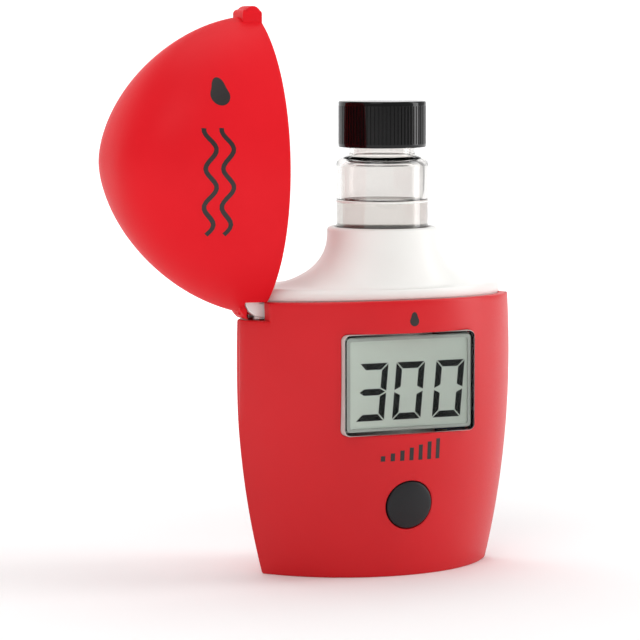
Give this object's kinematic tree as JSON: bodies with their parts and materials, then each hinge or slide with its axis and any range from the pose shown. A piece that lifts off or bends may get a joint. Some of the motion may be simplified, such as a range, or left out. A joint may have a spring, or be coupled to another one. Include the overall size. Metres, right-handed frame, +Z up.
{
  "type": "digital water tester",
  "caption": "Pocket photometer for pool and spa water: lens-shaped red case with display and button, white neck holding a capped glass vial, and a domed hinged lid",
  "frame": {"origin": "middle of the base, on the surface the tester stands on", "axes": "+X across the case from hinge to thumb lip, +Y to the back, +Z up"},
  "size_m": [0.0878, 0.0375, 0.1144],
  "materials": {
    "shell_red": "fine satin moulded ABS",
    "housing_white": "satin moulded ABS",
    "lid_red": "fine satin moulded ABS",
    "pin_steel": "drawn steel pin",
    "window_clear": "clear polished acrylic",
    "bezel_grey": "matt printed frame",
    "lcd_grey": "reflective LCD, green-grey",
    "lcd_ink": "dark LCD segments",
    "board_green": "solder mask over laminate",
    "chip_black": "moulded epoxy",
    "switch_black": "moulded nylon",
    "button_rubber": "satin silicone rubber",
    "cell_wrap": "plain printed shrink wrap",
    "spring_steel": "plated spring wire",
    "contact_steel": "nickel-plated strip",
    "cover_red": "satin moulded ABS",
    "seal_rubber": "nitrile rubber",
    "led_epoxy": "clear epoxy LED",
    "filter_glass": "coloured interference filter",
    "sensor_black": "photocell package",
    "board_green_small": "solder mask over laminate",
    "seat_white": "moulded acetal",
    "seat_spring_steel": "stainless spring wire",
    "vial_glass": "clear borosilicate glass",
    "sample_water": "clear water sample",
    "liner_white": "foamed polyethylene",
    "cap_black": "polished phenolic with fine flutes",
    "screw_steel": "zinc-plated steel",
    "label_paper": "blank silver-grey label"
  },
  "bodies": {
    "case": {"front_shell": "shell_red", "rear_shell": "shell_red", "housing": "housing_white", "hinge_pin": "pin_steel", "display_window": "window_clear", "display_bezel": "bezel_grey", "lcd_glass": "lcd_grey", "lcd_segments": "lcd_ink", "main_board": "board_green", "board_chips": "chip_black", "button_switch": "switch_black", "battery": "cell_wrap", "battery_spring": "spring_steel", "battery_contact": "contact_steel", "light_source": "led_epoxy", "light_filter": "filter_glass", "light_sensor": "sensor_black", "sensor_board": "board_green_small", "seat_spring": "seat_spring_steel", "case_screws": "screw_steel", "rating_label": "label_paper"},
    "lid": {"lid": "lid_red"},
    "seat": {"vial_seat": "seat_white"},
    "vial": {"vial": "vial_glass", "sample": "sample_water"},
    "liner": {"cap_liner": "liner_white"},
    "cap": {"vial_cap": "cap_black"},
    "button": {"button": "button_rubber"},
    "battery_cover": {"battery_cover": "cover_red", "cover_seal": "seal_rubber"}
  },
  "joints": [
    {"name": "lid_hinge", "type": "hinge", "parent": "case", "child": "lid", "pos_m": [-0.0261, 0, 0.0561], "axis": [0, -1, 0], "range_deg": [-90, 0]},
    {"name": "seat_travel", "type": "slide", "parent": "case", "child": "seat", "axis": [0, 0, 1], "range_m": [-0.0155, 0], "stiffness_N_per_m": 20, "springref_m": 0.03, "deforming": ["seat_spring"]},
    {"name": "vial_lift", "type": "slide", "parent": "seat", "child": "vial", "axis": [0, 0, 1], "range_m": [0, 0.05]},
    {"name": "cap_rise", "type": "slide", "parent": "vial", "child": "liner", "axis": [0, 0, 1], "range_m": [0, 0.0048]},
    {"name": "cap_turn", "type": "hinge", "parent": "liner", "child": "cap", "pos_m": [0, -0.0035, 0.09], "axis": [0, 0, 1], "range_deg": [0, 720]},
    {"name": "button_press", "type": "slide", "parent": "case", "child": "button", "axis": [0, 0.9895, 0.1449], "range_m": [0, 0.0008], "stiffness_N_per_m": 1500, "springref_m": -0.0002},
    {"name": "battery_cover_turn", "type": "hinge", "parent": "case", "child": "battery_cover", "pos_m": [0.0154, 0.001, 0.001], "axis": [0, 0, -1], "range_deg": [0, 45]}
  ],
  "couplings": [
    {"joint": "seat_travel", "follows": "lid_hinge", "m_per_rad": 0.009867},
    {"joint": "cap_turn", "follows": "cap_rise", "rad_per_m": 2618}
  ]
}
